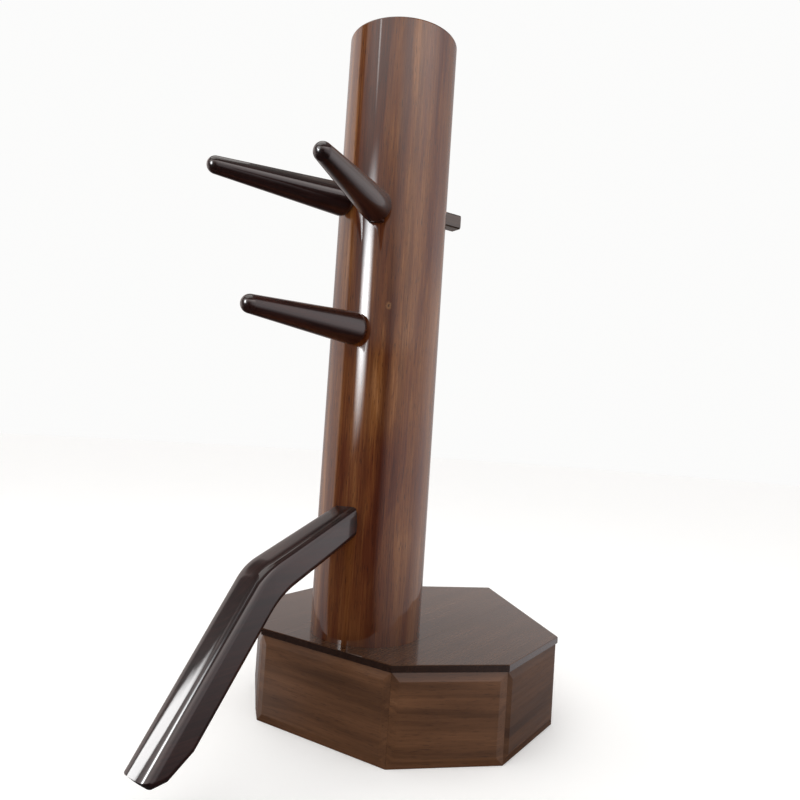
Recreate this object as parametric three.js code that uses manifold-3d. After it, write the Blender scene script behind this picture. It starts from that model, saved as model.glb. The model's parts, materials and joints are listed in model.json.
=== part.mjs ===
// Free-standing wooden wing dummy on a corner base. Millimetres, +Z up.
// Origin: floor level, on the axis of the trunk. The dummy faces -Y.
import * as THREE from 'three';
import { ConvexGeometry } from 'three/addons/geometries/ConvexGeometry.js';
import { mergeVertices } from 'three/addons/utils/BufferGeometryUtils.js';
import Module from 'manifold-3d';

const wasm = await Module();
wasm.setup();

// Clearance between pieces that touch.
const GAP = 0.3;

// Base: a heptagon whose two rear walls meet at a right angle to fit a room corner.
const BASE_HEIGHT = 180;
const FRONT_Y = -135;
const FRONT_HALF = 155;
const CORNER_CUT = 154;
const SIDE_LENGTH = 240;
const TOP_THICK = 13;
const TOP_ARRIS = 1.2;
const PLANK_SEAM_X = 115;
const PANEL_THICK = 18;
const PANEL_BORDER = 16;
const PANEL_RECESS = 3.5;
const BOTTOM_THICK = 25;
const BLOCK_LEG = 45;
const CLEAT_DEPTH = 30;
const CLEAT_WIDTH = 40;
const CLEATS = [
  { name: 'cleat_middle', y: 145, halfLength: 289 },
  { name: 'cleat_rear', y: 320, halfLength: 202 },
];

// Trunk: one turned post with four through mortises.
const TRUNK_RADIUS = 110;
const TRUNK_TOP = 1385;
const TRUNK_ARRIS = 4;
const TRUNK_SEGMENTS = 72;

// Coach screws that hold the trunk to the bottom board.
const SCREW_PITCH = 45;
const SCREW_SHANK = 4;
const SCREW_REACH = 60;
const SCREW_TIP = 7;
const HEAD_ACROSS_FLATS = 13;
const HEAD_THICK = 5.4;
const WASHER_RADIUS = 12;
const WASHER_THICK = 2;
const COUNTERBORE_RADIUS = 14;
const COUNTERBORE_DEPTH = 10;

// The trunk stands turned a little on its base, as the limbs' mortises show.
const TRUNK_TURN = -2.6;

// Arms: turned cones with a ball end, a rounded shoulder and a square tenon.
// The upper pair's tenons lie flush with opposite sides so they pass inside the trunk.
const ARM_SEGMENTS = 40;
const ARM_SPLAY = 19.3;
const ARM_TIP_CENTRE = 378;
const ARM_TIP_RADIUS = 16;
const ARM_ROOT_RADIUS = 32;
const ARM_SHOULDER = 105;
const ARM_SHOULDER_ROUND = 18;
const TENON = 30;
const TENON_ARRIS = 2.5;
const TENON_OFFSET = 16;
const ARM_TAIL = 171;
const HIDDEN_TAIL = 148;
const TAIL_CHAMFER = 3;
const CENTRE_LINE_X = 14;

// Leg: a bent, rounded square bar with its own square tenon.
const LEG_HEIGHT = 402;
const LEG_TENON = 38;
const LEG_ROOT = new THREE.Vector2(90, 414);
const LEG_KNEE = new THREE.Vector2(306.8, 324.2);
const LEG_FOOT = new THREE.Vector2(500, 67.8);
const LEG_ROOT_THICK = 57;
const LEG_KNEE_THICK = 64.5;
const LEG_FOOT_THICK = 60;
const LEG_ROUND = 14;
const LEG_ROUND_STEPS = 5;
const KNEE_OUTER_EASE = 26;
const KNEE_INNER_EASE = 34;
const SOLE = [
  new THREE.Vector2(528.5, 79.5),
  new THREE.Vector2(513, 64.5),
  new THREE.Vector2(486, 66),
  new THREE.Vector2(442, 95),
];

// Tapered pegs behind the trunk that stop the arms and the leg from leaving.
const PEG_TOP_RADIUS = 6.2;
const PEG_BOTTOM_RADIUS = 5;
const PEG_ABOVE = 34;
const PEG_BELOW = 28;
const LIMB_PLAY = 4;

const FIT = 0.4;
const TRUNK_FOOT = BOTTOM_THICK + GAP;
const TOP_UNDERSIDE = BASE_HEIGHT - TOP_THICK;
const SOCKET_RADIUS = TRUNK_RADIUS + GAP;
const PEG_X = -(TRUNK_RADIUS + LIMB_PLAY + PEG_TOP_RADIUS);

const LIMBS = [
  {
    name: 'arm_upper_left',
    heading: -ARM_SPLAY,
    height: 1032,
    rise: TENON_OFFSET,
    side: 0,
    tenon: TENON,
    tail: ARM_TAIL,
  },
  {
    name: 'arm_upper_right',
    heading: ARM_SPLAY,
    height: 1010.5,
    rise: -TENON_OFFSET,
    side: 4,
    tenon: TENON,
    tail: ARM_TAIL,
  },
  {
    name: 'arm_middle',
    heading: 0,
    height: 775,
    rise: 0,
    side: CENTRE_LINE_X,
    tenon: TENON,
    tail: HIDDEN_TAIL,
  },
  {
    name: 'leg',
    heading: 0,
    height: LEG_HEIGHT,
    rise: 0,
    side: CENTRE_LINE_X,
    tenon: LEG_TENON,
    tail: HIDDEN_TAIL,
  },
];

const FINISHES = {
  trunk: { color: 0x6b4532, roughness: 0.28, metalness: 0 },
  limb: { color: 0x2c1815, roughness: 0.16, metalness: 0 },
  base: { color: 0x4f3527, roughness: 0.26, metalness: 0 },
  inner: { color: 0x9a7552, roughness: 0.7, metalness: 0 },
  steel: { color: 0x8f9296, roughness: 0.4, metalness: 0.9 },
};

// ---------------------------------------------------------------- helpers

// Welds a geometry and drops the zero-area triangles left on an axis.
function weld(geometry) {
  const bare = geometry.clone();
  bare.deleteAttribute('normal');
  bare.deleteAttribute('uv');
  const merged = mergeVertices(bare, 1e-3);
  const source = merged.index.array;
  const kept = [];
  for (let i = 0; i < source.length; i += 3) {
    const [a, b, c] = [source[i], source[i + 1], source[i + 2]];
    if (a !== b && b !== c && c !== a) {
      kept.push(a, b, c);
    }
  }
  merged.setIndex(kept);
  return merged;
}

function toManifold(geometry) {
  const merged = weld(geometry);
  return new wasm.Manifold(new wasm.Mesh({
    numProp: 3,
    vertProperties: new Float32Array(merged.attributes.position.array),
    triVerts: new Uint32Array(merged.index.array),
  }));
}

function toGeometry(manifold) {
  const mesh = manifold.getMesh();
  const geometry = new THREE.BufferGeometry();
  const positions = new THREE.BufferAttribute(new Float32Array(mesh.vertProperties), 3);
  geometry.setAttribute('position', positions);
  geometry.setIndex(new THREE.BufferAttribute(new Uint32Array(mesh.triVerts), 1));
  geometry.computeVertexNormals();
  return geometry;
}

function cut(geometry, cutters) {
  let body = toManifold(geometry);
  for (const cutter of cutters) {
    body = body.subtract(toManifold(cutter));
  }
  return toGeometry(body);
}

function piece(name, geometry, finish) {
  const material = new THREE.MeshStandardMaterial(FINISHES[finish]);
  const mesh = new THREE.Mesh(weld(geometry), material);
  mesh.geometry.computeVertexNormals();
  mesh.name = name;
  return mesh;
}

// A turned solid about +Z from (radius, height) pairs that start and end on the axis.
function turnedZ(profile, segments) {
  const points = profile.map(([radius, height]) => new THREE.Vector2(radius, height));
  return new THREE.LatheGeometry(points, segments).rotateX(Math.PI / 2);
}

function cylinderZ(radius, low, high, segments) {
  return turnedZ([[0, low], [radius, low], [radius, high], [0, high]], segments);
}

function boxBetween(low, high) {
  const size = high.map((value, i) => value - low[i]);
  const box = new THREE.BoxGeometry(size[0], size[1], size[2]);
  return box.translate(low[0] + size[0] / 2, low[1] + size[1] / 2, low[2] + size[2] / 2);
}

function hull(points) {
  return new ConvexGeometry(points);
}

// ------------------------------------------------------------------- base

const HALF_WIDTH = FRONT_HALF + CORNER_CUT;
const SIDE_FRONT_Y = FRONT_Y + CORNER_CUT;
const SIDE_REAR_Y = SIDE_FRONT_Y + SIDE_LENGTH;
const OUTLINE = [
  new THREE.Vector2(-FRONT_HALF, FRONT_Y),
  new THREE.Vector2(FRONT_HALF, FRONT_Y),
  new THREE.Vector2(HALF_WIDTH, SIDE_FRONT_Y),
  new THREE.Vector2(HALF_WIDTH, SIDE_REAR_Y),
  new THREE.Vector2(0, SIDE_REAR_Y + HALF_WIDTH),
  new THREE.Vector2(-HALF_WIDTH, SIDE_REAR_Y),
  new THREE.Vector2(-HALF_WIDTH, SIDE_FRONT_Y),
];
const PANEL_NAMES = [
  'panel_front',
  'panel_diagonal_right',
  'panel_side_right',
  'panel_rear_right',
  'panel_rear_left',
  'panel_side_left',
  'panel_diagonal_left',
];
const BLOCK_NAMES = [
  'block_front_left',
  'block_front_right',
  'block_side_front_right',
  'block_side_rear_right',
  'block_rear',
  'block_side_rear_left',
  'block_side_front_left',
];

function corner(index) {
  return OUTLINE[(index + OUTLINE.length) % OUTLINE.length];
}

function edgeDirection(index) {
  return corner(index + 1).clone().sub(corner(index)).normalize();
}

// The outline's corner moved inwards so that both its edges shift by the inset.
function insetCorner(index, inset) {
  const before = edgeDirection(index - 1);
  const after = edgeDirection(index);
  const inward = new THREE.Vector2(-before.y - after.y, before.x + after.x).normalize();
  const spread = inward.dot(new THREE.Vector2(-after.y, after.x));
  return corner(index).clone().addScaledVector(inward, inset / spread);
}

function insetOutline(inset) {
  return OUTLINE.map((_, index) => insetCorner(index, inset));
}

function raise(points, heights) {
  return heights.flatMap((z) => points.map((p) => new THREE.Vector3(p.x, p.y, z)));
}

// A mitred side board with a raised field inside a bevelled border.
function sidePanel(index) {
  const along = edgeDirection(index);
  const high = TOP_UNDERSIDE - GAP;
  const span = (inset, trim) => [
    insetCorner(index, inset).addScaledVector(along, trim),
    insetCorner(index + 1, inset).addScaledVector(along, -trim),
  ];
  return hull([
    ...raise(span(PANEL_THICK, GAP / 2), [0, high]),
    ...raise(span(PANEL_RECESS, GAP / 2), [0, high]),
    ...raise(span(0, PANEL_BORDER), [PANEL_BORDER, high - PANEL_BORDER]),
  ]);
}

function cornerBlock(index) {
  const inner = insetCorner(index, PANEL_THICK + GAP);
  const back = inner.clone().addScaledVector(edgeDirection(index - 1), -BLOCK_LEG);
  const ahead = inner.clone().addScaledVector(edgeDirection(index), BLOCK_LEG);
  return hull(raise([inner, back, ahead], [BOTTOM_THICK + GAP, TOP_UNDERSIDE - GAP]));
}

// The planked top: one eased slab, bored for the trunk and sawn along two seams.
function topPlank(left, right) {
  const slab = hull([
    ...raise(OUTLINE, [TOP_UNDERSIDE, BASE_HEIGHT - TOP_ARRIS]),
    ...raise(insetOutline(TOP_ARRIS), [BASE_HEIGHT]),
  ]);
  const hole = cylinderZ(SOCKET_RADIUS, TOP_UNDERSIDE - 5, BASE_HEIGHT + 5, TRUNK_SEGMENTS);
  const lane = boxBetween([left, -1000, 0], [right, 1000, 1000]);
  const plank = toManifold(slab).subtract(toManifold(hole)).intersect(toManifold(lane));
  return toGeometry(plank);
}

const screwSpots = [-1, 1].flatMap((sx) => [-1, 1].map((sy) => ({
  x: sx * SCREW_PITCH,
  y: sy * SCREW_PITCH,
  label: `${sy < 0 ? 'front' : 'rear'}_${sx < 0 ? 'left' : 'right'}`,
})));

function bottomBoard() {
  const board = hull(raise(insetOutline(PANEL_THICK + GAP), [0, BOTTOM_THICK]));
  const bores = screwSpots.flatMap(({ x, y }) => [
    cylinderZ(COUNTERBORE_RADIUS, -5, COUNTERBORE_DEPTH, 24).translate(x, y, 0),
    cylinderZ(SCREW_SHANK + GAP, 0, BOTTOM_THICK + 5, 24).translate(x, y, 0),
  ]);
  return cut(board, bores);
}

function coachScrew() {
  const headTop = COUNTERBORE_DEPTH - WASHER_THICK - 2 * GAP;
  const headRadius = HEAD_ACROSS_FLATS / Math.sqrt(3);
  const head = cylinderZ(headRadius, headTop - HEAD_THICK, headTop, 6);
  const reach = BOTTOM_THICK + SCREW_REACH;
  const shank = turnedZ([
    [0, headTop - 1],
    [SCREW_SHANK, headTop - 1],
    [SCREW_SHANK, reach - SCREW_TIP],
    [0, reach],
  ], 24);
  return toGeometry(toManifold(head).add(toManifold(shank)));
}

function screwPilot() {
  const reach = BOTTOM_THICK + SCREW_REACH + GAP;
  return cylinderZ(SCREW_SHANK + GAP, BOTTOM_THICK - 5, reach, 24);
}

function washer() {
  const high = COUNTERBORE_DEPTH - GAP;
  const low = high - WASHER_THICK;
  const disc = cylinderZ(WASHER_RADIUS, low, high, 32);
  return cut(disc, [cylinderZ(SCREW_SHANK + GAP, low - 1, high + 1, 24)]);
}

// ------------------------------------------------------------------ limbs
// A limb is drawn with +X outwards from the trunk's axis, +Y up and Z sideways.

function squareBar(size, arris, from, to, chamfer) {
  const h = size / 2;
  const e = h - arris;
  const section = new THREE.Shape([
    [-e, -h], [e, -h], [h, -e], [h, e], [e, h], [-e, h], [-h, e], [-h, -e],
  ].map(([x, y]) => new THREE.Vector2(x, y)));
  const bar = new THREE.ExtrudeGeometry(section, {
    depth: to - from - 2 * chamfer,
    bevelEnabled: chamfer > 0,
    bevelThickness: chamfer,
    bevelSize: chamfer,
    bevelOffset: -chamfer,
    bevelSegments: 1,
  });
  return bar.rotateY(Math.PI / 2).translate(from + chamfer, 0, 0);
}

function arc(centre, radius, from, to, steps) {
  return Array.from({ length: steps + 1 }, (_, i) => {
    const angle = from + ((to - from) * i) / steps;
    return [centre[0] + radius * Math.cos(angle), centre[1] + radius * Math.sin(angle)];
  });
}

function armBody() {
  const shoulder = [ARM_ROOT_RADIUS - ARM_SHOULDER_ROUND, ARM_SHOULDER + ARM_SHOULDER_ROUND];
  const run = ARM_TIP_CENTRE - shoulder[1];
  const slope = Math.asin((ARM_ROOT_RADIUS - ARM_TIP_RADIUS) / run);
  const profile = [
    [0, ARM_SHOULDER],
    ...arc(shoulder, ARM_SHOULDER_ROUND, -Math.PI / 2, slope, 7),
    ...arc([0, ARM_TIP_CENTRE], ARM_TIP_RADIUS, slope, Math.PI / 2, 6),
  ];
  profile[profile.length - 1][0] = 0;
  const points = profile.map(([radius, x]) => new THREE.Vector2(radius, x));
  return new THREE.LatheGeometry(points, ARM_SEGMENTS).rotateZ(-Math.PI / 2);
}

// Side outline of the leg, heights measured from its tenon's axis.
function legOutline() {
  const thigh = LEG_KNEE.clone().sub(LEG_ROOT).normalize();
  const shin = LEG_FOOT.clone().sub(LEG_KNEE).normalize();
  const thighUp = new THREE.Vector2(-thigh.y, thigh.x);
  const shinUp = new THREE.Vector2(-shin.y, shin.x);
  const kneeUp = thighUp.clone().add(shinUp).normalize();
  const kneeReach = LEG_KNEE_THICK / 2 / kneeUp.dot(shinUp);
  const outerKnee = LEG_KNEE.clone().addScaledVector(kneeUp, kneeReach);
  const innerKnee = LEG_KNEE.clone().addScaledVector(kneeUp, -kneeReach);
  const rootTop = LEG_ROOT.clone().addScaledVector(thighUp, LEG_ROOT_THICK / 2);
  const rootBottom = LEG_ROOT.clone().addScaledVector(thighUp, -LEG_ROOT_THICK / 2);
  const toward = (from, to, distance) => {
    const step = to.clone().sub(from).normalize();
    return from.clone().addScaledVector(step, distance);
  };
  const shape = new THREE.Shape();
  const lower = (p) => [p.x, p.y - LEG_HEIGHT];
  const ease = (before, knee, after, distance) => {
    shape.lineTo(...lower(toward(knee, before, distance)));
    shape.quadraticCurveTo(...lower(knee), ...lower(toward(knee, after, distance)));
  };
  shape.moveTo(...lower(rootBottom));
  ease(rootBottom, innerKnee, SOLE[3], KNEE_INNER_EASE);
  for (const point of [...SOLE].reverse()) {
    shape.lineTo(...lower(point));
  }
  ease(SOLE[0], outerKnee, rootTop, KNEE_OUTER_EASE);
  shape.lineTo(...lower(rootTop));
  return shape;
}

// The leg's bar is as wide as it is thick: it narrows from the knee to both ends.
function legBody() {
  const bar = new THREE.ExtrudeGeometry(legOutline(), {
    depth: LEG_KNEE_THICK - 2 * LEG_ROUND,
    curveSegments: 6,
    bevelEnabled: true,
    bevelThickness: LEG_ROUND,
    bevelSize: LEG_ROUND,
    bevelOffset: -LEG_ROUND,
    bevelSegments: LEG_ROUND_STEPS,
  });
  bar.translate(0, 0, -(LEG_KNEE_THICK / 2 - LEG_ROUND));
  const position = bar.attributes.position;
  for (let i = 0; i < position.count; i += 1) {
    const past = position.getX(i) - LEG_KNEE.x;
    const end = past > 0 ? LEG_FOOT : LEG_ROOT;
    const thick = past > 0 ? LEG_FOOT_THICK : LEG_ROOT_THICK;
    const share = THREE.MathUtils.clamp(past / (end.x - LEG_KNEE.x), 0, 1);
    const width = THREE.MathUtils.lerp(LEG_KNEE_THICK, thick, share);
    position.setZ(i, (position.getZ(i) * width) / LEG_KNEE_THICK);
  }
  return bar;
}

function pegSolid(extra) {
  const top = PEG_TOP_RADIUS + extra;
  const bottom = PEG_BOTTOM_RADIUS + extra;
  const ease = extra > 0 ? 0 : 1.5;
  return new THREE.LatheGeometry([
    new THREE.Vector2(0, -PEG_BELOW),
    new THREE.Vector2(bottom - ease, -PEG_BELOW),
    new THREE.Vector2(bottom, -PEG_BELOW + ease),
    new THREE.Vector2(top, PEG_ABOVE - ease),
    new THREE.Vector2(top - ease, PEG_ABOVE),
    new THREE.Vector2(0, PEG_ABOVE),
  ], 24);
}

// The shoulder is scribed to the trunk, so the trunk's round is cut from it.
function limbSolid(limb) {
  const body = (limb.name === 'leg' ? legBody() : armBody()).translate(0, 0, -limb.side);
  const round = new THREE.CylinderGeometry(SOCKET_RADIUS, SOCKET_RADIUS, 200, TRUNK_SEGMENTS);
  const tenon = squareBar(limb.tenon, TENON_ARRIS, -limb.tail, TRUNK_RADIUS + 20, TAIL_CHAMFER);
  tenon.translate(0, limb.rise, -limb.side);
  const pegHole = pegSolid(GAP).translate(PEG_X, limb.rise, -limb.side);
  const scribed = toManifold(body).subtract(toManifold(round));
  return toGeometry(scribed.add(toManifold(tenon)).subtract(toManifold(pegHole)));
}

function mortise(limb) {
  const size = limb.tenon + 2 * FIT;
  const reach = TRUNK_RADIUS + 30;
  return squareBar(size, TENON_ARRIS, -reach, reach, 0).translate(0, limb.rise, -limb.side);
}

// --------------------------------------------------------------- assembly

const dummy = new THREE.Group();

const base = new THREE.Group();
dummy.add(base);
OUTLINE.forEach((_, index) => {
  base.add(piece(PANEL_NAMES[index], sidePanel(index), 'base'));
  base.add(piece(BLOCK_NAMES[index], cornerBlock(index), 'inner'));
});
const SEAM = GAP / 2;
base.add(piece('top_plank_left', topPlank(-1000, -PLANK_SEAM_X - SEAM), 'base'));
base.add(piece('top_plank_middle', topPlank(-PLANK_SEAM_X + SEAM, PLANK_SEAM_X - SEAM), 'base'));
base.add(piece('top_plank_right', topPlank(PLANK_SEAM_X + SEAM, 1000), 'base'));
base.add(piece('bottom_board', bottomBoard(), 'inner'));

for (const cleat of CLEATS) {
  const bar = new THREE.BoxGeometry(2 * cleat.halfLength, CLEAT_WIDTH, CLEAT_DEPTH);
  const mesh = piece(cleat.name, bar, 'inner');
  mesh.position.set(0, cleat.y, TOP_UNDERSIDE - GAP - CLEAT_DEPTH / 2);
  base.add(mesh);
}

for (const spot of screwSpots) {
  const screw = piece(`coach_screw_${spot.label}`, coachScrew(), 'steel');
  const ring = piece(`washer_${spot.label}`, washer(), 'steel');
  screw.position.set(spot.x, spot.y, 0);
  ring.position.set(spot.x, spot.y, 0);
  base.add(screw, ring);
}

const trunkCutters = screwSpots.map(({ x, y }) => screwPilot().translate(x, y, 0));
for (const limb of LIMBS) {
  const heading = new THREE.Group();
  heading.position.z = limb.height;
  heading.rotation.z = THREE.MathUtils.degToRad(TRUNK_TURN + limb.heading - 90);
  const upright = new THREE.Group();
  upright.rotation.x = Math.PI / 2;
  heading.add(upright);
  dummy.add(heading);
  const peg = piece(`${limb.name}_peg`, pegSolid(0), 'limb');
  peg.position.set(PEG_X, limb.rise, -limb.side);
  upright.add(piece(limb.name, limbSolid(limb), 'limb'), peg);
  upright.updateWorldMatrix(true, false);
  trunkCutters.push(mortise(limb).applyMatrix4(upright.matrixWorld));
}

const post = turnedZ([
  [0, TRUNK_FOOT],
  [TRUNK_RADIUS, TRUNK_FOOT],
  ...arc([TRUNK_RADIUS - TRUNK_ARRIS, TRUNK_TOP - TRUNK_ARRIS], TRUNK_ARRIS, 0, Math.PI / 2, 3),
  [0, TRUNK_TOP],
], TRUNK_SEGMENTS);
dummy.add(piece('trunk', cut(post, trunkCutters), 'trunk'));

export default dummy;
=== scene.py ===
import json
import math

import bmesh
import bpy
from mathutils import Matrix, Quaternion, Vector

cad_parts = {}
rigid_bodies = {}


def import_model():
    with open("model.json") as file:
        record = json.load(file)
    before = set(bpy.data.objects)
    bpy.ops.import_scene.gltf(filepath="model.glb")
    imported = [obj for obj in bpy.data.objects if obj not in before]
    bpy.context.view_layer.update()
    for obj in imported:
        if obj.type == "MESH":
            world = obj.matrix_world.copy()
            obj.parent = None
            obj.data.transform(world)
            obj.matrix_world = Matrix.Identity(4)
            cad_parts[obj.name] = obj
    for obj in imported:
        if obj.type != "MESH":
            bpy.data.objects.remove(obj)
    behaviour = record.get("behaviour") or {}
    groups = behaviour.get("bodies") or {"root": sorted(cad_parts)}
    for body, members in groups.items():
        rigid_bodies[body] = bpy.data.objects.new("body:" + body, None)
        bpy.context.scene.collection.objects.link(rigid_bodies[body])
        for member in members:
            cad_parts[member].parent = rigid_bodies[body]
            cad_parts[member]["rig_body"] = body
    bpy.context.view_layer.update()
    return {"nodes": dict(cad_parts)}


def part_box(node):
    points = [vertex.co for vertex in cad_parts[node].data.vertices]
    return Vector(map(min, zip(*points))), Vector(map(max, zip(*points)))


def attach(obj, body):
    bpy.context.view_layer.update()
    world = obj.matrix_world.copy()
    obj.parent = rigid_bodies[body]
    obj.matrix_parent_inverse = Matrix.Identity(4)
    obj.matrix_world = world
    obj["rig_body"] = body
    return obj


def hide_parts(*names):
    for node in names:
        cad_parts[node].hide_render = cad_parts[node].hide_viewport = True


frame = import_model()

# A wing chun dummy on a low corner base. The trunk, the limbs and their pegs are made afresh here,
# finer than the CAD. The base and its fixings stay the CAD's own, with materials and worn arrises.

MM = 0.001

# ------------------------------------------------------------- dimensions, mm

GAP = 0.3
FIT = 0.4

TRUNK_LOW, TRUNK_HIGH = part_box("trunk")
TRUNK_RADIUS = round((TRUNK_HIGH.x - TRUNK_LOW.x) / 2 / MM, 1)
TRUNK_FOOT = TRUNK_LOW.z / MM
TRUNK_TOP = TRUNK_HIGH.z / MM
TRUNK_SEGMENTS = 240
TRUNK_STEPS = 18
TRUNK_ARRIS = 4
TRUNK_ARRIS_STEPS = 8
TRUNK_TURN = -2.6
ROUND_TOLERANCE = 0.4
SOCKET_RADIUS = TRUNK_RADIUS + GAP
SOCKET_REACH = 200

ARM_SEGMENTS = 128
ARM_TIP_CENTRE = 378
ARM_TIP_RADIUS = 16
ARM_TIP_STEPS = 14
ARM_CONE_STEPS = 8
ARM_ROOT_RADIUS = 32
ARM_SHOULDER = 105
ARM_SHOULDER_ROUND = 18
ARM_SHOULDER_STEPS = 12
TENON = 30
TENON_ARRIS = 2.5
TENON_ROOT = TRUNK_RADIUS + 20
ARM_TAIL = 171
HIDDEN_TAIL = 148
TAIL_CHAMFER = 3
MORTISE_REACH = TRUNK_RADIUS + 30

LEG_HEIGHT = 402
LEG_TENON = 38
LEG_ROOT = Vector((90, 414))
LEG_KNEE = Vector((306.8, 324.2))
LEG_FOOT = Vector((500, 67.8))
LEG_ROOT_THICK = 57
LEG_KNEE_THICK = 64.5
LEG_FOOT_THICK = 60
LEG_ROUND = 14
LEG_SQUARENESS = 4.6
LEG_CROWDING = 1.9
LEG_STEPS = 14
KNEE_OUTER_EASE = 26
KNEE_INNER_EASE = 34
KNEE_STEPS = 14
SOLE = [Vector((528.5, 79.5)), Vector((513, 64.5)), Vector((486, 66)), Vector((442, 95))]

PEG_TOP_RADIUS = 6.2
PEG_BOTTOM_RADIUS = 5
PEG_EASE = 1.5
PEG_EASE_STEPS = 4
PEG_SEGMENTS = 48
PEG_ABOVE = 34
PEG_BELOW = 28
LIMB_PLAY = 4
PEG_X = -(TRUNK_RADIUS + LIMB_PLAY + PEG_TOP_RADIUS)

SCREW_PITCH = 45
PILOT_RADIUS = 4.3
PILOT_TOP = 85.3
PILOT_SEGMENTS = 24

# name, heading in degrees, height, the tenon's rise, the limb's shift to the side, tenon size, tail
LIMBS = [
    ("arm_upper_left", -19.3, 1032, 16, 0, TENON, ARM_TAIL),
    ("arm_upper_right", 19.3, 1010.5, -16, 4, TENON, ARM_TAIL),
    ("arm_middle", 0, 775, 0, 14, TENON, HIDDEN_TAIL),
    ("leg", 0, LEG_HEIGHT, 0, 14, LEG_TENON, HIDDEN_TAIL),
]


# -------------------------------------------------------------- mesh helpers


def piece(name, verts, faces):
    """A mesh object from vertices in millimetres."""
    mesh = bpy.data.meshes.new(name)
    mesh.from_pydata([Vector(v) * MM for v in verts], [], faces)
    work = bmesh.new()
    work.from_mesh(mesh)
    bmesh.ops.remove_doubles(work, verts=work.verts, dist=1e-7)
    bmesh.ops.recalc_face_normals(work, faces=work.faces)
    work.to_mesh(mesh)
    work.free()
    obj = bpy.data.objects.new(name, mesh)
    bpy.context.scene.collection.objects.link(obj)
    return obj


def walls_between(low, high, count):
    """The faces between two closed rings, given by the index of each ring's first vertex."""
    following = [(i + 1) % count for i in range(count)]
    return [[low + i, low + j, high + j, high + i] for i, j in enumerate(following)]


def turned(name, profile, segments, axis="Z"):
    """A solid of revolution from (radius, height) pairs that start and end on the axis."""
    verts, faces = [], []
    rings = []
    for radius, height in profile:
        if radius == 0:
            rings.append(None)
            continue
        rings.append(len(verts))
        for i in range(segments):
            angle = 2 * math.pi * i / segments
            across, along = radius * math.cos(angle), radius * math.sin(angle)
            places = {
                "X": (height, across, along),
                "Y": (along, height, across),
                "Z": (across, along, height),
            }
            verts.append(places[axis])
    for low, high in zip(rings, rings[1:]):
        if low is None or high is None:
            start = high if low is None else low
            faces.append([start + i for i in range(segments)])
        else:
            faces += walls_between(low, high, segments)
    return piece(name, verts, faces)


def lofted(name, verts, count):
    """A solid through equal rings of vertices, closed by a flat face at each end."""
    faces = [list(range(count)), list(range(len(verts) - count, len(verts)))]
    for low in range(0, len(verts) - count, count):
        faces += walls_between(low, low + count, count)
    return piece(name, verts, faces)


def square_bar(name, size, arris, start, end, chamfer):
    """A square bar along X with planed arrises and chamfered ends."""
    half = size / 2
    flat = half - arris
    full = [
        (-flat, -half), (flat, -half), (half, -flat), (half, flat),
        (flat, half), (-flat, half), (-half, flat), (-half, -flat),
    ]
    stations = [(start + chamfer, full), (end - chamfer, full)]
    if chamfer:
        # the end faces keep a little of the arris
        small = [(y * (half - chamfer) / half, z * (half - chamfer) / half) for y, z in full]
        stations = [(start, small), *stations, (end, small)]
    verts = [(x, y, z) for x, ring in stations for y, z in ring]
    return lofted(name, verts, len(full))


def arc(centre, radius, start, end, steps):
    """Points round a centre, from one angle to another."""
    angles = [start + (end - start) * i / steps for i in range(steps + 1)]
    return [(centre[0] + radius * math.cos(a), centre[1] + radius * math.sin(a)) for a in angles]


def between(start, end, share):
    """A point some share of the way from start to end."""
    return tuple(a + (b - a) * share for a, b in zip(start, end))


def combine(target, tool, operation):
    """Applies one boolean and removes the tool."""
    step = target.modifiers.new(operation.lower(), "BOOLEAN")
    step.operation = operation
    step.solver = "EXACT"
    step.object = tool
    bpy.context.view_layer.update()
    graph = bpy.context.evaluated_depsgraph_get()
    result = bpy.data.meshes.new_from_object(target.evaluated_get(graph))
    old = target.data
    target.modifiers.clear()
    target.data = result
    bpy.data.meshes.remove(old)
    bpy.data.objects.remove(tool)


def moved(obj, x=0, y=0, z=0):
    obj.data.transform(Matrix.Translation(Vector((x, y, z)) * MM))
    return obj


def soften(obj, angle=32):
    """Smooth shading that keeps real arrises crisp and flat faces flat."""
    obj.data.shade_smooth()
    obj.data.set_sharp_from_angle(angle=math.radians(angle))
    weights = obj.modifiers.new("weights", "WEIGHTED_NORMAL")
    weights.mode = "FACE_AREA"
    weights.keep_sharp = True


def limb_matrix(heading, height):
    """The limb frame: X outwards from the trunk's axis, Y up, Z sideways."""
    turn = math.radians(TRUNK_TURN + heading - 90)
    return (
        Matrix.Translation((0, 0, height * MM))
        @ Matrix.Rotation(turn, 4, "Z")
        @ Matrix.Rotation(math.pi / 2, 4, "X")
    )


# --------------------------------------------------------------------- limbs


def arm_body(name):
    """A turned arm: a rounded shoulder, a long cone and a ball end."""
    centre = (ARM_ROOT_RADIUS - ARM_SHOULDER_ROUND, ARM_SHOULDER + ARM_SHOULDER_ROUND)
    run = ARM_TIP_CENTRE - centre[1]
    slope = math.asin((ARM_ROOT_RADIUS - ARM_TIP_RADIUS) / run)
    shoulder = arc(centre, ARM_SHOULDER_ROUND, -math.pi / 2, slope, ARM_SHOULDER_STEPS)
    tip = arc((0, ARM_TIP_CENTRE), ARM_TIP_RADIUS, slope, math.pi / 2, ARM_TIP_STEPS)[:-1]
    cone = [between(shoulder[-1], tip[0], i / ARM_CONE_STEPS) for i in range(1, ARM_CONE_STEPS)]
    profile = [(0, ARM_SHOULDER), *shoulder, *cone, *tip, (0, ARM_TIP_CENTRE + ARM_TIP_RADIUS)]
    return turned(name, profile, ARM_SEGMENTS, "X")


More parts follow.
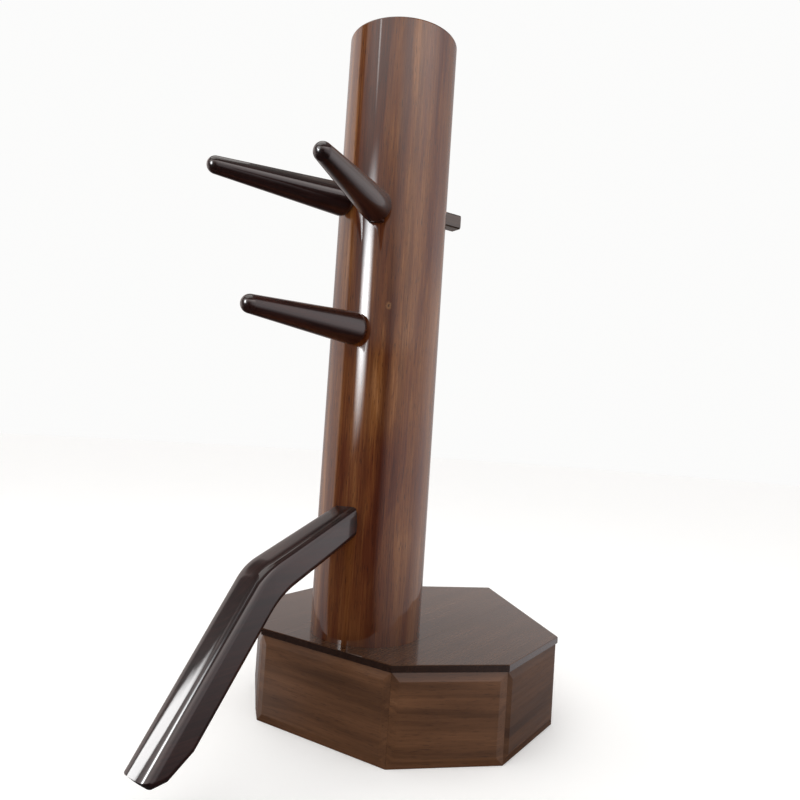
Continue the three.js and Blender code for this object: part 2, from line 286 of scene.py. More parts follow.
def leg_outline():
    """The leg seen from the side, with eased knee corners and a cut foot."""
    thigh = (LEG_KNEE - LEG_ROOT).normalized()
    shin = (LEG_FOOT - LEG_KNEE).normalized()
    thigh_up = Vector((-thigh.y, thigh.x))
    shin_up = Vector((-shin.y, shin.x))
    knee_up = (thigh_up + shin_up).normalized()
    reach = LEG_KNEE_THICK / 2 / knee_up.dot(shin_up)
    outer = LEG_KNEE + knee_up * reach
    inner = LEG_KNEE - knee_up * reach
    root_top = LEG_ROOT + thigh_up * LEG_ROOT_THICK / 2
    root_bottom = LEG_ROOT - thigh_up * LEG_ROOT_THICK / 2

    def ease(before, knee, after, distance):
        start = knee + (before - knee).normalized() * distance
        end = knee + (after - knee).normalized() * distance
        shares = [i / KNEE_STEPS for i in range(KNEE_STEPS + 1)]
        return [start * (1 - s) ** 2 + knee * 2 * s * (1 - s) + end * s * s for s in shares]

    points = [
        root_bottom,
        *ease(root_bottom, inner, SOLE[3], KNEE_INNER_EASE),
        *reversed(SOLE),
        *ease(SOLE[0], outer, root_top, KNEE_OUTER_EASE),
        root_top,
    ]
    return [p - Vector((0, LEG_HEIGHT)) for p in points]


def inset(outline, distance):
    """The outline with every side moved inwards."""
    count = len(outline)
    result = []
    for i, point in enumerate(outline):
        before = (point - outline[i - 1]).normalized()
        after = (outline[(i + 1) % count] - point).normalized()
        inward = Vector((-before.y - after.y, before.x + after.x)).normalized()
        spread = inward.dot(Vector((-after.y, after.x)))
        result.append(point + inward * distance / spread)
    return result


def leg_levels():
    """Half the leg's section as (height, inset) pairs: a square with full, even curves, not flats."""
    half = LEG_KNEE_THICK / 2
    power = LEG_SQUARENESS
    deepest = (1 - (1 - LEG_ROUND / half) ** power) ** (1 / power)
    levels = []
    for i in range(1, LEG_STEPS + 1):
        z = deepest * (1 - (1 - i / LEG_STEPS) ** LEG_CROWDING)
        depth = half * (1 - (1 - z**power) ** (1 / power))
        levels.append((half * z / deepest, depth))
    return levels


def leg_body(name):
    """The bent bar, widest at the knee, so its side faces meet in a line there."""
    outline = leg_outline()
    levels = leg_levels()
    stations = [(-z, d) for z, d in reversed(levels)] + [(0, 0)] + levels
    verts = [(p.x, p.y, z) for z, d in stations for p in inset(outline, d)]
    leg = lofted(name, verts, len(outline))

    work = bmesh.new()
    work.from_mesh(leg.data)
    everything = [*work.verts, *work.edges, *work.faces]
    knee = LEG_KNEE.x * MM
    bmesh.ops.bisect_plane(work, geom=everything, plane_co=(knee, 0, 0), plane_no=(1, 0, 0))
    for vert in work.verts:
        past = vert.co.x / MM - LEG_KNEE.x
        end, thick = (LEG_FOOT, LEG_FOOT_THICK) if past > 0 else (LEG_ROOT, LEG_ROOT_THICK)
        share = min(max(past / (end.x - LEG_KNEE.x), 0), 1)
        vert.co.z *= (LEG_KNEE_THICK + (thick - LEG_KNEE_THICK) * share) / LEG_KNEE_THICK
    work.to_mesh(leg.data)
    work.free()
    return leg


def peg(name):
    """A tapered peg with eased ends."""
    foot = (PEG_BOTTOM_RADIUS - PEG_EASE, -PEG_BELOW + PEG_EASE)
    head = (PEG_TOP_RADIUS - PEG_EASE, PEG_ABOVE - PEG_EASE)
    profile = [
        (0, -PEG_BELOW),
        *arc(foot, PEG_EASE, -math.pi / 2, 0, PEG_EASE_STEPS),
        *arc(head, PEG_EASE, 0, math.pi / 2, PEG_EASE_STEPS),
        (0, PEG_ABOVE),
    ]
    return turned(name, profile, PEG_SEGMENTS, "Y")


def peg_hole():
    """What a peg's hole takes out of a tenon."""
    top, bottom = PEG_TOP_RADIUS + GAP, PEG_BOTTOM_RADIUS + GAP
    profile = [(0, -PEG_BELOW), (bottom, -PEG_BELOW), (top, PEG_ABOVE), (0, PEG_ABOVE)]
    return turned("hole", profile, PEG_SEGMENTS, "Y")


def trunk_round():
    """The trunk's round, upright in the limb frame, to which a limb's shoulder is scribed."""
    radius, reach = SOCKET_RADIUS, SOCKET_REACH
    profile = [(0, -reach), (radius, -reach), (radius, reach), (0, reach)]
    return turned("round", profile, TRUNK_SEGMENTS, "Y")


def limb(name, heading, height, rise, side, tenon_size, tail):
    """A limb in one piece with its tenon, and the peg behind the trunk."""
    body = leg_body(f"{name}_bar") if name == "leg" else arm_body(f"{name}_turned")
    moved(body, z=-side)
    combine(body, trunk_round(), "DIFFERENCE")
    tenon = square_bar("tenon", tenon_size, TENON_ARRIS, -tail, TENON_ROOT, TAIL_CHAMFER)
    combine(body, moved(tenon, y=rise, z=-side), "UNION")
    combine(body, moved(peg_hole(), PEG_X, rise, -side), "DIFFERENCE")
    body.data.transform(limb_matrix(heading, height))
    soften(body)
    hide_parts(name)
    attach(body, name)

    pin = peg(f"{name}_pin")
    moved(pin, PEG_X, rise, -side)
    pin.data.transform(limb_matrix(heading, height))
    soften(pin)
    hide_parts(f"{name}_peg")
    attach(pin, f"{name}_peg")
    return body, pin


# --------------------------------------------------------------------- trunk


def cut_mortise(post, heading, height, rise, side, tenon_size):
    """A square hole right through the trunk for one limb's tenon."""
    bar = square_bar("mortise", tenon_size + 2 * FIT, TENON_ARRIS, -MORTISE_REACH, MORTISE_REACH, 0)
    moved(bar, y=rise, z=-side)
    bar.data.transform(limb_matrix(heading, height))
    combine(post, bar, "DIFFERENCE")


def cut_pilot(post, x, y):
    """A hole in the trunk's end grain for one coach screw."""
    profile = [(0, 0), (PILOT_RADIUS, 0), (PILOT_RADIUS, PILOT_TOP), (0, PILOT_TOP)]
    combine(post, moved(turned("pilot", profile, PILOT_SEGMENTS), x, y), "DIFFERENCE")


def true_normals(mesh):
    """Exact normals on the round, so that the lacquer's reflections run true past the mortises."""
    mesh.shade_smooth()
    crown_base = (TRUNK_TOP - TRUNK_ARRIS) * MM
    inside = (TRUNK_RADIUS - ROUND_TOLERANCE) * MM
    normals = []
    for poly in mesh.polygons:
        corners = [mesh.vertices[mesh.loops[i].vertex_index].co for i in poly.loop_indices]
        flat = poly.normal
        outward = flat.x * poly.center.x + flat.y * poly.center.y > 0
        low = min(c.z for c in corners) < crown_base - 1e-6
        on_side = outward and low and all(math.hypot(c.x, c.y) > inside for c in corners)
        on_crown = outward and not low and flat.z < 0.9999
        for c in corners:
            radius = math.hypot(c.x, c.y)
            if on_side:
                normals.append((c.x / radius, c.y / radius, 0))
            elif on_crown:
                core = (TRUNK_RADIUS - TRUNK_ARRIS) * MM / radius
                normal = Vector((c.x * (1 - core), c.y * (1 - core), c.z - crown_base))
                normals.append(tuple(normal.normalized()))
            else:
                normals.append(tuple(flat))
    mesh.normals_split_custom_set(normals)


def trunk_post():
    """The turned trunk with its mortises and the screws' pilot holes."""
    foot, top = TRUNK_FOOT, TRUNK_TOP - TRUNK_ARRIS
    steps = TRUNK_STEPS
    side = [(TRUNK_RADIUS, foot + (top - foot) * i / steps) for i in range(steps)]
    crown = arc((TRUNK_RADIUS - TRUNK_ARRIS, top), TRUNK_ARRIS, 0, math.pi / 2, TRUNK_ARRIS_STEPS)
    post = turned("trunk_post", [(0, foot), *side, *crown, (0, TRUNK_TOP)], TRUNK_SEGMENTS)
    for _, heading, height, rise, shift, tenon_size, _ in LIMBS:
        cut_mortise(post, heading, height, rise, shift, tenon_size)
    for x in (-SCREW_PITCH, SCREW_PITCH):
        for y in (-SCREW_PITCH, SCREW_PITCH):
            cut_pilot(post, x, y)
    true_normals(post.data)
    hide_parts("trunk")
    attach(post, frame["nodes"]["trunk"]["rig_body"])
    return post


# ----------------------------------------------------------------- materials


class Tree:
    """A short way to write node trees."""

    def __init__(self, owner):
        owner.use_nodes = True
        self.tree = owner.node_tree
        self.tree.nodes.clear()

    def fill(self, socket, value):
        """Links another node's output to a socket, or sets its value."""
        if isinstance(value, bpy.types.NodeSocket):
            self.tree.links.new(value, socket)
        else:
            socket.default_value = value

    def add(self, kind, props=None, **inputs):
        """A node whose inputs are given by name, with _ for a space, or by number, as i0."""
        node = self.tree.nodes.new(kind)
        for key, value in (props or {}).items():
            setattr(node, key, value)
        for key, value in inputs.items():
            numbered = key[0] == "i" and key[1:].isdigit()
            self.fill(node.inputs[int(key[1:]) if numbered else key.replace("_", " ")], value)
        return node

    def math(self, operation, a, b=0.0, c=0.0):
        return self.add("ShaderNodeMath", {"operation": operation}, i0=a, i1=b, i2=c).outputs[0]

    def vector(self, operation, a, b=(0, 0, 0)):
        node = self.add("ShaderNodeVectorMath", {"operation": operation}, i0=a, i1=b)
        return node.outputs["Value" if operation in ("LENGTH", "DOT_PRODUCT") else "Vector"]

    def height(self, vector):
        """The Z of a vector."""
        return self.add("ShaderNodeSeparateXYZ", None, Vector=vector).outputs[2]

    def stretch(self, vector, scale, shift=(0, 0, 0), turn=(0, 0, 0)):
        inputs = {"Vector": vector, "Location": shift, "Rotation": turn, "Scale": scale}
        return self.add("ShaderNodeMapping", None, **inputs).outputs[0]

    def noise(self, vector, scale, detail=2.0, roughness=0.5, distortion=0.0):
        inputs = {"Scale": scale, "Detail": detail, "Roughness": roughness, "Distortion": distortion}
        return self.add("ShaderNodeTexNoise", None, Vector=vector, **inputs)

    def grain(self, own, along, scale, detail=2.0, roughness=0.5, distortion=0.0):
        """Noise drawn out along Z; the smaller along is, the longer its streaks."""
        return self.noise(self.stretch(own, (1, 1, along)), scale, detail, roughness, distortion)

    def ramp(self, value, stops):
        node = self.add("ShaderNodeValToRGB", None, Fac=value)
        elements = node.color_ramp.elements
        while len(elements) > 1:
            elements.remove(elements[-1])
        elements[0].position, elements[0].color = stops[0][0], (*stops[0][1], 1)
        for position, colour in stops[1:]:
            elements.new(position).color = (*colour, 1)
        return node.outputs[0]

    def spread(self, value, low, high, new_low=0.0, new_high=1.0, smooth=False):
        props = {"interpolation_type": "SMOOTHSTEP" if smooth else "LINEAR"}
        inputs = {"i0": value, "i1": low, "i2": high, "i3": new_low, "i4": new_high}
        return self.add("ShaderNodeMapRange", props, **inputs).outputs[0]

    def mix(self, factor, a, b):
        node = self.add("ShaderNodeMix", {"data_type": "RGBA"}, i0=factor)
        for socket, value in ((node.inputs[6], a), (node.inputs[7], b)):
            self.fill(socket, value if isinstance(value, bpy.types.NodeSocket) else (*value, 1))
        return node.outputs[2]

    def bump(self, height):
        """A normal from a height in metres."""
        inputs = {"Strength": 1.0, "Distance": 1.0, "Height": height}
        return self.add("ShaderNodeBump", None, **inputs).outputs[0]


# how strongly each part of the figure shows in the timber's tone
RINGS_WEIGHT = 0.34
BANDS_WEIGHT = 0.52
FIBRES_WEIGHT = 0.20
CLOUDS_WEIGHT = 0.34
TONE_GAIN = 2.4

# metres of relief in the surface
GRAIN_RELIEF = 9e-6
FLOW_RELIEF = 26e-6
RIPPLE_RELIEF = 3.0e-6

PORE_COLOUR = (0.012, 0.006, 0.004)
LACQUER_IOR = 1.5


def growth_rings(tree, local, own, pith, figure):
    """The log's growth rings round its pith, wandering along its length."""
    wander = tree.grain(own, 0.16, 7.0).outputs["Color"]
    offset = tree.vector("MULTIPLY", tree.vector("SUBTRACT", wander, (0.5, 0.5, 0.5)), (0.055, 0.055, 0))
    flat = tree.vector("MULTIPLY", tree.vector("ADD", local, offset), (1, 1, 0))
    distance = tree.vector("LENGTH", tree.vector("ADD", flat, (*pith, 0)))
    inputs = {"W": distance, "Scale": 150.0 * figure, "Detail": 3.0, "Roughness": 0.62}
    return tree.add("ShaderNodeTexNoise", {"noise_dimensions": "1D"}, **inputs).outputs[0]


def lacquered_wood(name, seed, tones, grain=Matrix.Identity(4), pith=(0.03, 0.05), figure=1.0,
                   fibre=1.0, contrast=1.0, gloss=0.05, coat=1.0, base_gloss=0.38, peel=1.0,
                   shine=0.15, extra=None):
    """Solid timber under clear lacquer. The matrix grain turns the piece so that its grain runs along Z."""
    material = bpy.data.materials.new(name)
    tree = Tree(material)
    place = tree.add("ShaderNodeTexCoord").outputs["Object"]
    shift, spin = tuple(grain.to_translation()), tuple(grain.to_3x3().to_euler("XYZ"))
    local = tree.stretch(place, (1, 1, 1), shift=shift, turn=spin)
    own = tree.vector("ADD", local, (seed * 0.731, seed * 0.417, seed * 0.953))

    rings = growth_rings(tree, local, own, pith, figure)
    bands = tree.grain(own, 0.07, 34.0 * figure, 3.0, 0.6, 0.4).outputs[0]
    clouds = tree.grain(own, 0.4, 9.0).outputs[0]
    fibres = tree.grain(own, 0.022, 420.0, 3.0, 0.65).outputs[0]
    pores = tree.spread(tree.grain(own, 0.05, 900.0, 1.0).outputs[0], 0.62, 0.70)

    tone = 0.5
    for part, weight in (
        (rings, RINGS_WEIGHT), (bands, BANDS_WEIGHT),
        (fibres, FIBRES_WEIGHT * fibre), (clouds, CLOUDS_WEIGHT),
    ):
        change = tree.math("SUBTRACT", part, 0.5)
        tone = tree.math("MULTIPLY_ADD", change, TONE_GAIN * contrast * weight, tone)
    colour = tree.ramp(tone, tones)
    colour = tree.mix(tree.math("MULTIPLY", pores, 0.45 * fibre), colour, PORE_COLOUR)
    if extra:
        colour = extra(tree, colour, local, own)

    # grain shows through the lacquer, and the lacquer has a little flow of its own
    relief = tree.math("MULTIPLY", tree.math("SUBTRACT", fibres, pores), GRAIN_RELIEF * fibre)
    flow = tree.grain(own, 0.35, 60.0, 2.0, 0.4).outputs[0]
    ripple = tree.grain(own, 0.7, 260.0, 1.0, 0.4).outputs[0]
    lacquer = tree.math("MULTIPLY", flow, FLOW_RELIEF * peel)
    lacquer = tree.math("MULTIPLY_ADD", ripple, RIPPLE_RELIEF * peel, lacquer)
    under, over = tree.bump(tree.math("ADD", relief, lacquer)), tree.bump(lacquer)

    rough = tree.spread(fibres, 0.3, 0.7, base_gloss - 0.06, base_gloss + 0.08)
    shader = tree.add(
        "ShaderNodeBsdfPrincipled", None,
        Base_Color=colour, Roughness=rough, Normal=under, Coat_Normal=over,
    )
    shader.inputs["Specular IOR Level"].default_value = shine
    shader.inputs["Coat Weight"].default_value = coat
    shader.inputs["Coat Roughness"].default_value = gloss
    shader.inputs["Coat IOR"].default_value = LACQUER_IOR
    tree.add("ShaderNodeOutputMaterial", None, Surface=shader.outputs[0])
    return material


def plain_wood(name, seed, tones, grain=Matrix.Identity(4)):
    """Unfinished inner timber."""
    return lacquered_wood(
        name, seed, tones, grain, pith=(0.2, 0.4), coat=0.0, base_gloss=0.72, peel=0.3, shine=0.3,
    )


def steel(name):
    """Zinc-plated fixings with a faint spangle and scuffs."""
    material = bpy.data.materials.new(name)
    tree = Tree(material)
    place = tree.add("ShaderNodeTexCoord").outputs["Object"]
    spangle = tree.add("ShaderNodeTexVoronoi", None, Vector=place, Scale=700.0).outputs["Distance"]
    scuffs = tree.noise(place, 1500.0, 3.0, 0.6).outputs[0]
    colour = tree.ramp(spangle, [(0.0, (0.42, 0.43, 0.45)), (1.0, (0.55, 0.56, 0.58))])
    rough = tree.spread(scuffs, 0.3, 0.7, 0.28, 0.5)
    bump = tree.bump(tree.math("MULTIPLY", scuffs, 4e-6))
    shader = tree.add("ShaderNodeBsdfPrincipled", None, Base_Color=colour, Roughness=rough, Normal=bump)
    shader.inputs["Metallic"].default_value = 1.0
    tree.add("ShaderNodeOutputMaterial", None, Surface=shader.outputs[0])
    return material


TRUNK_TONES = [
    (0.00, (0.044, 0.008, 0.002)),
    (0.28, (0.084, 0.019, 0.005)),
    (0.52, (0.124, 0.037, 0.009)),
    (0.76, (0.178, 0.064, 0.017)),
    (1.00, (0.250, 0.104, 0.038)),
]
LIMB_TONES = [
    (0.00, (0.0050, 0.0010, 0.0008)),
    (0.50, (0.0135, 0.0026, 0.0019)),
    (1.00, (0.0290, 0.0070, 0.0042)),
]
BASE_TONES = [
    (0.00, (0.026, 0.0100, 0.0042)),
    (0.35, (0.070, 0.0285, 0.0115)),
    (0.65, (0.120, 0.0510, 0.0215)),
    (1.00, (0.185, 0.0880, 0.0420)),
]
# the top planks' own darker tones, which the right side panel also borrows as painted shade
TOP_TONES = [(place, tuple(0.62 * value for value in colour)) for place, colour in BASE_TONES]
INNER_TONES = [
    (0.00, (0.22, 0.12, 0.06)),
    (0.50, (0.34, 0.20, 0.11)),
    (1.00, (0.46, 0.30, 0.18)),
]
HEARTWOOD = (0.034, 0.0045, 0.0016)
# the dark red the trunk turns towards at its foot
FOOT_DARKENING = (0.036, 0.006, 0.003)
KNOT_RING = (0.26, 0.12, 0.045)
KNOT_HEART = (0.020, 0.007, 0.004)
BARE_TONES = [(0.3, (0.016, 0.009, 0.005)), (0.7, (0.060, 0.034, 0.021))]
# painted shade: the colour put on plank faces that turn away from up
EDGE_SHADE = (0.010, 0.0035, 0.0025)

# metres: where heartwood shows on the trunk, as x, y, half width and strength
FLAMES = [(0.0703, -0.0847, 0.011, 0.60), (0.0450, -0.1004, 0.005, 0.34), (0.0890, -0.0640, 0.007, 0.35)]
KNOT = (0.0659, -0.0881, 0.822)
TAIL_START = (-0.114, -0.106)
FOOT_DARKENING_SPAN = (0.20, 0.48)

X_TO_Z = Matrix.Rotation(-math.pi / 2, 4, "Y")
Y_TO_Z = Matrix.Rotation(math.pi / 2, 4, "X")


def heartwood(tree, colour, local, own):
    """Dark red flames of heartwood down the front of the trunk, one small knot, and a darker foot."""
    rough = tree.math("SUBTRACT", tree.grain(own, 0.09, 70.0, 4.0, 0.65, 0.5).outputs[0], 0.5)
    patches = tree.grain(own, 0.30, 11.0, 3.0, 0.6).outputs[0]
    for x, y, half_width, strength in FLAMES:
        gap = tree.vector("MULTIPLY", tree.vector("SUBTRACT", local, (x, y, 0)), (1, 1, 0))
        ragged = tree.math("MULTIPLY_ADD", rough, half_width * 2.2, tree.vector("LENGTH", gap))
        flame = tree.spread(ragged, half_width * 0.35, half_width * 1.3, strength, 0.0, smooth=True)
        flame = tree.math("MULTIPLY", flame, tree.spread(patches, 0.36, 0.56, 0.15, 1.0))
        colour = tree.mix(flame, colour, HEARTWOOD)
    # darker towards the foot: below 0.48 m the colour is drawn towards a dark red, a third of the way at
    # 0.20 m
    stain = tree.spread(tree.height(local), *FOOT_DARKENING_SPAN, 0.34, 0.0, smooth=True)
    colour = tree.mix(stain, colour, FOOT_DARKENING)
    gap = tree.vector("MULTIPLY", tree.vector("SUBTRACT", local, KNOT), (1, 1, 0.7))
    wobble = tree.math("SUBTRACT", tree.noise(local, 300.0, 2.0, 0.6).outputs[0], 0.5)
    off_knot = tree.math("MULTIPLY_ADD", wobble, 0.0045, tree.vector("LENGTH", gap))
    colour = tree.mix(tree.spread(off_knot, 0.0030, 0.0065, 0.55, 0.0, smooth=True), colour, KNOT_RING)
    return tree.mix(tree.spread(off_knot, 0.0008, 0.0028, 0.85, 0.0, smooth=True), colour, KNOT_HEART)


def bare_tail(tree, colour, local, own):
    """The part of a limb behind the trunk, paler because it has no stain."""
    streaks = tree.grain(own, 0.06, 120.0, 3.0, 0.6).outputs[0]
    bare = tree.spread(tree.height(local), *TAIL_START, 1.0, 0.0)
    return tree.mix(bare, colour, tree.ramp(streaks, BARE_TONES))


def shaded_plank_edges(tree, colour, _local, _own):
    """Painted shade: the faces of a plank that turn away from up, its sawn edges among them, are darkened.
    """
    facing = tree.height(tree.add("ShaderNodeNewGeometry").outputs["Normal"])
    return tree.mix(tree.spread(facing, 0.3, 0.8, 0.85, 0.0), colour, EDGE_SHADE)


# ------------------------------------------------------------------ assembly

# the number after a material's name is its piece's seed, so that no two pieces show the same grain
trunk = trunk_post()
trunk.data.materials.append(lacquered_wood(
    "trunk_walnut", 1.0, TRUNK_TONES, pith=(0.035, -0.03), figure=0.72, fibre=1.6, contrast=1.15,
    peel=1.5, shine=0.04, extra=heartwood,
))
for index, (name, heading, height, rise, shift, tenon_size, tail) in enumerate(LIMBS):
    body, pin = limb(name, heading, height, rise, shift, tenon_size, tail)
    settle = limb_matrix(heading, height).inverted()
    body.data.materials.append(lacquered_wood(
        f"{name}_wenge", 3.0 + index, LIMB_TONES, X_TO_Z @ settle, gloss=0.03, peel=1.3,
        extra=bare_tail,
    ))
    pin.data.materials.append(lacquered_wood(
        f"{name}_pin_wenge", 9.0 + index, LIMB_TONES, Y_TO_Z @ settle, gloss=0.06,
    ))

PANEL_TURNS = {
    "panel_front": 0,
    "panel_diagonal_right": 45,
    "panel_side_right": 90,
    "panel_rear_right": 135,
    "panel_rear_left": 45,
    "panel_side_left": 90,
    "panel_diagonal_left": 135,
}
PLANKS = ("top_plank_left", "top_plank_middle", "top_plank_right")
BLOCKS = sorted(name for name in frame["nodes"] if name.startswith("block_"))
BOARDS = ("cleat_middle", "cleat_rear", "bottom_board")

# the width of the worn arrises in mm, and the least angle in degrees of an edge that has one
PANEL_ARRIS = (0.5, 9)
PLANK_ARRIS = (0.9, 9)
INNER_ARRIS = (0.6, 25)
STEEL_ARRIS = (0.2, 25)


def ease_edges(node, width, angle):
    """Small worn arrises on a CAD part."""
    merge = node.modifiers.new("flats", "DECIMATE")
    merge.decimate_type = "DISSOLVE"
    merge.angle_limit = math.radians(0.5)
    bevel = node.modifiers.new("arris", "BEVEL")
    bevel.width = width * MM
    bevel.segments = 2
    bevel.limit_method = "ANGLE"
    bevel.angle_limit = math.radians(angle)


def dress(node_name, material, arris):
    """Gives a CAD part its material and its worn arrises."""
    node = frame["nodes"][node_name]
    if not node.material_slots:
        node.data.materials.append(material)
    for slot in node.material_slots:
        slot.material = material
    ease_edges(node, *arris)


for index, (name, turn) in enumerate(PANEL_TURNS.items()):
    grain = X_TO_Z @ Matrix.Rotation(math.radians(-turn), 4, "Z")
    # the right side gets darker tones than the others as painted shade, and its lacquer is worn
    tones, coat, shine = BASE_TONES, 1.0, 0.15
    if name == "panel_side_right":
        tones, coat, shine = TOP_TONES, 0.22, 0.03
    dress(name, lacquered_wood(
        f"{name}_walnut", 20.0 + index, tones, grain, pith=(0.16, 0.5), contrast=0.6, gloss=0.07,
        coat=coat, shine=shine,
    ), PANEL_ARRIS)
# the top planks, with painted shade on their edges
for index, name in enumerate(PLANKS):
    dress(name, lacquered_wood(
        f"{name}_walnut", 30.0 + index, TOP_TONES, Y_TO_Z, pith=(0.5, 0.3), contrast=0.55,
        gloss=0.07, shine=0.05, extra=shaded_plank_edges,
    ), PLANK_ARRIS)
for index, name in enumerate(BLOCKS):
    dress(name, plain_wood(f"{name}_pine", 40.0 + index, INNER_TONES), INNER_ARRIS)
for index, name in enumerate(BOARDS):
    dress(name, plain_wood(f"{name}_pine", 50.0 + index, INNER_TONES, X_TO_Z), INNER_ARRIS)
zinc = steel("zinc_plate")
for name in frame["nodes"]:
    if name.startswith(("coach_screw_", "washer_")):
        dress(name, zinc, STEEL_ARRIS)

# --------------------------------------------------------------------- stage

FLOOR_RADIUS = 14000
FLOOR_SEGMENTS = 96
FLOOR_DROP = 0.5
FLOOR_GLOW = 0.22


def floor_disc():
    """A pale floor, which reflections do not see."""
    angles = [2 * math.pi * i / FLOOR_SEGMENTS for i in range(FLOOR_SEGMENTS)]
    verts = [(FLOOR_RADIUS * math.cos(a), FLOOR_RADIUS * math.sin(a), -FLOOR_DROP) for a in angles]
    disc = piece("floor", verts, [list(range(FLOOR_SEGMENTS))])
    material = bpy.data.materials.new("pale_floor")
    tree = Tree(material)
    place = tree.add("ShaderNodeTexCoord").outputs["Object"]
    cloud = tree.noise(place, 3.0, 3.0).outputs[0]
    colour = tree.ramp(cloud, [(0.3, (0.85, 0.85, 0.845)), (0.7, (0.87, 0.87, 0.865))])
    shader = tree.add("ShaderNodeBsdfPrincipled", None, Base_Color=colour)
    shader.inputs["Roughness"].default_value = 0.8
    shader.inputs["Specular IOR Level"].default_value = 0.2
    shader.inputs["Emission Color"].default_value = (1, 1, 1, 1)
    shader.inputs["Emission Strength"].default_value = FLOOR_GLOW
    tree.add("ShaderNodeOutputMaterial", None, Surface=shader.outputs[0])
    disc.data.materials.append(material)
    disc.visible_glossy = False


floor_disc()

CAMERA_PLACE = Vector((0.824, -1.182, 0.592))
LOOK = Vector((-0.549, 0.836, 0)).normalized()
SIDE = Vector((LOOK.y, -LOOK.x, 0))
FRONT = -LOOK
PITCH = math.radians(2.26)
ROLL = math.radians(3.77)
LENS = 31.75
SENSOR = 36


def main_camera():
    """A low view of the trunk, pitched up and rolled a little."""
    camera = bpy.data.objects.new("camera", bpy.data.cameras.new("camera"))
    bpy.context.scene.collection.objects.link(camera)
    forward = LOOK * math.cos(PITCH) + Vector((0, 0, 1)) * math.sin(PITCH)
    lift = Vector((0, 0, 1)) * math.cos(PITCH) - LOOK * math.sin(PITCH)
    right = SIDE * math.cos(ROLL) + lift * math.sin(ROLL)
    up = lift * math.cos(ROLL) - SIDE * math.sin(ROLL)
    turn = Matrix((right, up, -forward)).transposed().to_4x4()
    camera.matrix_world = Matrix.Translation(CAMERA_PLACE) @ turn
    camera.data.sensor_width = SENSOR
    camera.data.lens = LENS
    camera.data.clip_start = 0.05
    camera.data.clip_end = 100
    bpy.context.scene.camera = camera


main_camera()

# -------------------------------------------------------------------- lights


def faded(data, fade):
    """Makes a lamp's brightness fall away over the outer share of its width and height."""
    tree = Tree(data)
    parametric = tree.add("ShaderNodeNewGeometry").outputs["Parametric"]
    spot = tree.add("ShaderNodeSeparateXYZ", None, Vector=parametric)
    shape = 1.0
    for across in spot.outputs[:2]:
        off_centre = tree.math("ABSOLUTE", tree.math("MULTIPLY_ADD", across, 2.0, -1.0))
        shape = tree.math("MULTIPLY", tree.spread(off_centre, 1.0 - fade, 1.0, 1.0, 0.0, smooth=True), shape)
    glow = tree.add("ShaderNodeEmission", None, Strength=shape)
    tree.add("ShaderNodeOutputLight", None, Surface=glow.outputs[0])


def panel_light(name, place, aim, size, radiance, colour=(1, 1, 1), tilt=0, fade=0):
    """A soft box with its brightness given as radiance, and maybe fading towards its edges."""
    width, height = size
    data = bpy.data.lights.new(name, "AREA")
    data.shape = "RECTANGLE"
    data.size, data.size_y = width, height
    data.energy = radiance * math.pi * width * height
    data.color = colour
    lamp = bpy.data.objects.new(name, data)
    bpy.context.scene.collection.objects.link(lamp)
    lamp.location = place
    facing = (Vector(aim) - Vector(place)).to_track_quat("-Z", "Y")
    lamp.rotation_mode = "QUATERNION"
    lamp.rotation_quaternion = facing @ Quaternion((0, 0, 1), math.radians(tilt))
    if fade:
        faded(data, fade)
    return lamp


def from_camera_side(azimuth, reach, height):
    """A place round the trunk: azimuth 0 is the camera's side, positive to its right."""
    a = math.radians(azimuth)
    place = (FRONT * math.cos(a) + SIDE * math.sin(a)) * reach
    return Vector((place.x, place.y, height))


window = panel_light(
    "window", from_camera_side(-44, 2.2, 1.21), (0, 0, 0.9), (1.05, 1.56), 34.0,
    (0.96, 0.98, 1.0), tilt=11, fade=0.97,
)
high_slit = panel_light(
    "high_slit", from_camera_side(-50, 2.2, 2.55), (0, 0, 1.2), (0.20, 0.9), 6.0, tilt=8, fade=0.97,
)
shin_window = panel_light(
    "shin_window", (-1.66, -1.60, 1.02), (0, -0.45, 0.15), (0.34, 1.0), 16.0, fade=0.6,
)
panel_light("overhead", (-0.4, -0.7, 3.2), (0, 0, 0), (2.4, 2.4), 1.6, (1.0, 0.98, 0.95))

# the windows are only mirrored in the lacquer, and the shin's only in the leg's
for lamp in (window, high_slit, shin_window):
    lamp.visible_diffuse = False
leg_only = bpy.data.collections.new("leg_only")
leg_only.objects.link(bpy.data.objects["leg_bar"])
shin_window.light_linking.receiver_collection = leg_only

# --------------------------------------------------------------------- world

# what the lacquer mirrors: pale walls to the right and behind on the left, and a dim room between
WARM, COOL = (1.04, 0.93, 0.90), (0.99, 0.93, 0.95)
GLOW_TINT = (1.06, 0.97, 0.93)
CEILING_TINT = (1.0, 0.95, 0.90)
DIM_ROOM = (0.012, 0.010, 0.010)
BACKDROP = (0.97, 0.97, 0.965)
AMBIENT = [(0.0, (0.55, 0.55, 0.55)), (1.0, (0.95, 0.94, 0.93))]

# brightness by azimuth in degrees, 0 towards the camera and positive to its right
WALLS = [
    (-180, 0.42, WARM), (-150, 0.50, WARM), (-120, 1.0, WARM), (-92, 1.3, WARM), (-87, 0.05, WARM),
    (-30, 0.03, WARM), (10, 0.04, WARM), (26, 0.75, COOL), (60, 1.25, COOL), (112, 1.25, COOL),
    (145, 0.6, WARM), (180, 0.42, WARM),
]
GLOW = [(-88, 0), (-83, 0.5), (-76, 0.6), (-63, 1), (60, 1), (95, 0)]

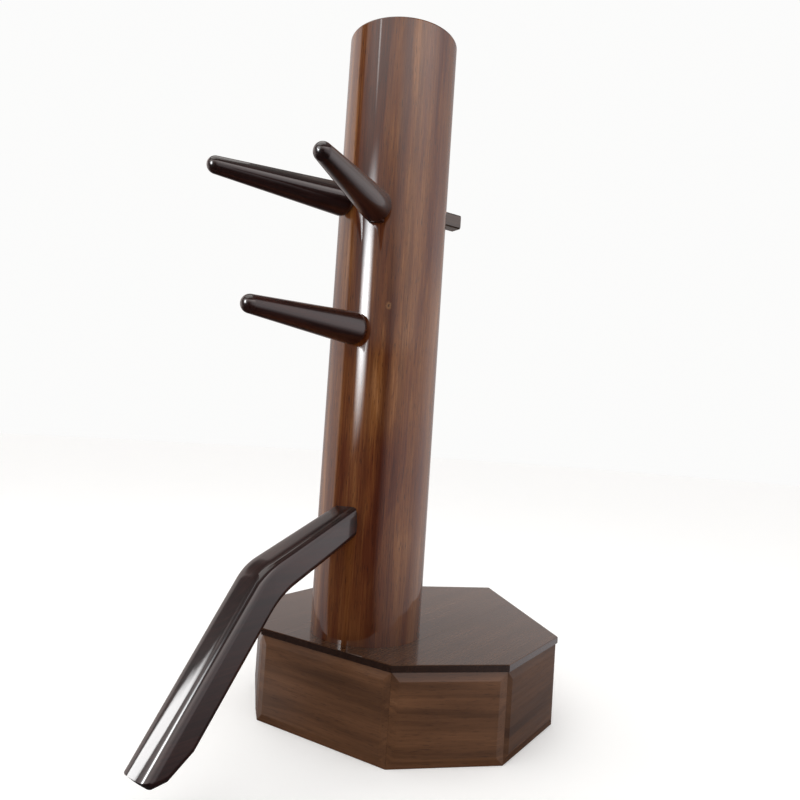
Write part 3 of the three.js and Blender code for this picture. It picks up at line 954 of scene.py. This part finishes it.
# brightness by height, from 0 straight down to 1 straight up
WALL_BAND = [
    (0.24, 0.02), (0.33, 0.42), (0.42, 0.95), (0.50, 1.0), (0.80, 1.0), (0.83, 0.2), (0.86, 0.0),
]
GLOW_BAND = [
    (0.55, 0.0), (0.565, 0.5), (0.62, 0.6), (0.68, 1.0), (0.74, 2.0), (0.80, 2.0), (0.82, 0.1),
    (0.84, 0.0),
]
CEILING = [(0.88, 0.0), (0.90, 0.25), (1.0, 0.3)]

# the walls' azimuth shifts by some degrees well above and below the horizon
HIGH_SPAN, HIGH_SHIFT = (0.15, 0.42), 14
LOW_SPAN, LOW_SHIFT = (-0.36, -0.20), 15


def tinted(level, tint=(1.0, 1.0, 1.0)):
    return tuple(level * share for share in tint)


def turns(degrees):
    """A place on a ramp that runs once round from -180 to 180 degrees."""
    return degrees / 360 + 0.5


def mirrored_room(tree, sky, height):
    """The room as the lacquer sees it."""
    rise = tree.spread(height, -1.0, 1.0)
    ahead = tree.vector("DOT_PRODUCT", sky, FRONT)
    aside = tree.vector("DOT_PRODUCT", sky, SIDE)
    azimuth = tree.math("DIVIDE", tree.math("ARCTAN2", aside, ahead), 2 * math.pi)
    azimuth = tree.math("ADD", azimuth, 0.5)
    onward = tree.spread(height, *HIGH_SPAN, 0.0, HIGH_SHIFT / 360, smooth=True)
    back = tree.spread(height, *LOW_SPAN, LOW_SHIFT / 360, 0.0, smooth=True)
    shifted = tree.math("SUBTRACT", tree.math("ADD", azimuth, onward), back)
    walls = tree.ramp(shifted, [(turns(degrees), tinted(level, tint)) for degrees, level, tint in WALLS])
    wall_band = tree.ramp(rise, [(place, tinted(level)) for place, level in WALL_BAND])
    glow = tree.ramp(azimuth, [(turns(degrees), tinted(level)) for degrees, level in GLOW])
    glow_band = tree.ramp(rise, [(place, tinted(level)) for place, level in GLOW_BAND])
    ceiling = tree.ramp(rise, [(place, tinted(level)) for place, level in CEILING])
    glowing = tree.vector("MULTIPLY", tree.vector("MULTIPLY", glow, glow_band), GLOW_TINT)
    room = tree.vector("ADD", tree.vector("MULTIPLY", walls, wall_band), glowing)
    room = tree.vector("ADD", room, tree.vector("MULTIPLY", ceiling, CEILING_TINT))
    return tree.vector("ADD", room, DIM_ROOM)


def studio_world():
    """Even light on matt surfaces, the room in glossy ones, and white behind the object."""
    world = bpy.data.worlds.new("studio")
    bpy.context.scene.world = world
    tree = Tree(world)
    sky = tree.add("ShaderNodeTexCoord").outputs["Generated"]
    path = tree.add("ShaderNodeLightPath")
    height = tree.height(sky)
    ambient = tree.ramp(tree.spread(height, -1.0, 1.0), AMBIENT)
    light = tree.mix(path.outputs["Is Glossy Ray"], ambient, mirrored_room(tree, sky, height))
    light = tree.mix(path.outputs["Is Camera Ray"], light, BACKDROP)
    back = tree.add("ShaderNodeBackground", None, Color=light)
    tree.add("ShaderNodeOutputWorld", None, Surface=back.outputs[0])
    world.cycles.sampling_method = "NONE"


studio_world()
bpy.context.scene.view_settings.view_transform = "Standard"
